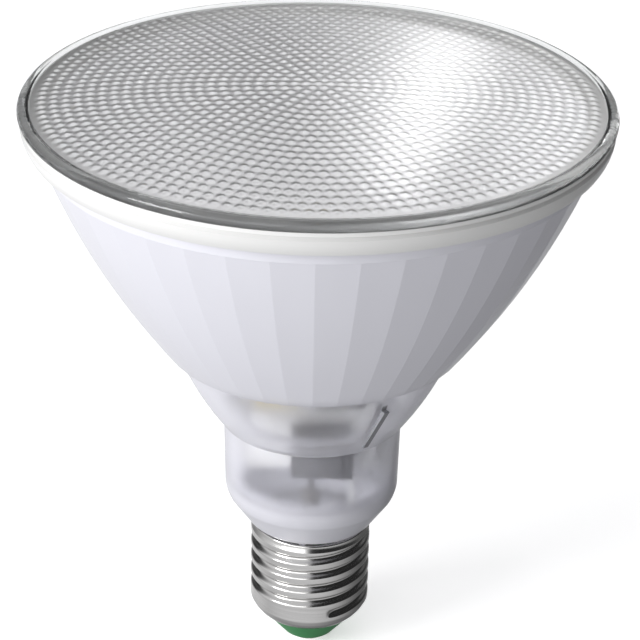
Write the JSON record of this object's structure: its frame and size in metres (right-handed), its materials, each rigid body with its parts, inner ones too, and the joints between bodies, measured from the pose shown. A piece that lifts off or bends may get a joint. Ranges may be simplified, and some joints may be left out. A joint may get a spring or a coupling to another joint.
{
  "type": "par spotlight bulb",
  "caption": "Reflector spotlight bulb: stippled clear lens in a white collar, translucent faceted cone body, neck with the driver, and an Edison screw cap.",
  "frame": {"origin": "tip of the centre contact, on the lamp's axis", "axes": "+Z along the lamp's axis, from the cap to the lens; -Y is the side seen in the picture"},
  "size_m": [0.121, 0.121, 0.1327],
  "materials": {
    "lens_glass": "clear pressed glass, stippled inside, polished outside",
    "seal_rubber": "soft grey silicone",
    "collar_plastic": "opaque white, satin gloss",
    "body_plastic": "milky translucent, faint lavender, glossy",
    "housing_plastic": "milky translucent, glossy",
    "reflector_metal": "vacuum-metallised",
    "spreader_aluminium": "stamped sheet",
    "light_board": "white solder mask",
    "light_ceramic": "white alumina",
    "light_phosphor": "yellow phosphor in clear silicone",
    "screw_steel": "zinc-plated",
    "driver_laminate": "paper laminate with a satin mask",
    "ferrite": "dark ground ferrite",
    "coil_tape": "dark polyester tape over the winding",
    "capacitor_sleeve": "shrunk sleeve",
    "film_box": "moulded box",
    "chip_moulding": "moulded epoxy",
    "varistor_coating": "dipped coating",
    "resistor_coating": "flameproof coating",
    "lead_red": "insulated wire",
    "lead_black": "insulated wire",
    "lead_white": "insulated wire",
    "cap_nickel": "nickel-plated sheet, finely brushed around",
    "cap_insulator": "green moulded insulator",
    "contact_metal": "tinned brass"
  },
  "bodies": {
    "root": {"front_lens": "lens_glass", "lens_seal": "seal_rubber", "retaining_collar": "collar_plastic", "reflector_body": "body_plastic", "driver_housing": "housing_plastic", "inner_reflector": "reflector_metal", "heat_spreader": "spreader_aluminium", "led_board": "light_board", "led_substrate": "light_ceramic", "led_phosphor": "light_phosphor", "board_screw_1": "screw_steel", "board_screw_2": "screw_steel", "driver_board": "driver_laminate", "transformer_core": "ferrite", "transformer_coil": "coil_tape", "electrolytic_capacitor": "capacitor_sleeve", "film_capacitor": "film_box", "drum_inductor": "ferrite", "bridge_rectifier": "chip_moulding", "controller_chip": "chip_moulding", "varistor": "varistor_coating", "fusible_resistor": "resistor_coating", "led_lead_positive": "lead_red", "led_lead_negative": "lead_black", "line_lead_lower": "lead_black", "line_lead_upper": "lead_black", "neutral_lead": "lead_white", "screw_shell": "cap_nickel", "base_insulator": "cap_insulator", "centre_contact": "contact_metal"}
  },
  "joints": []
}
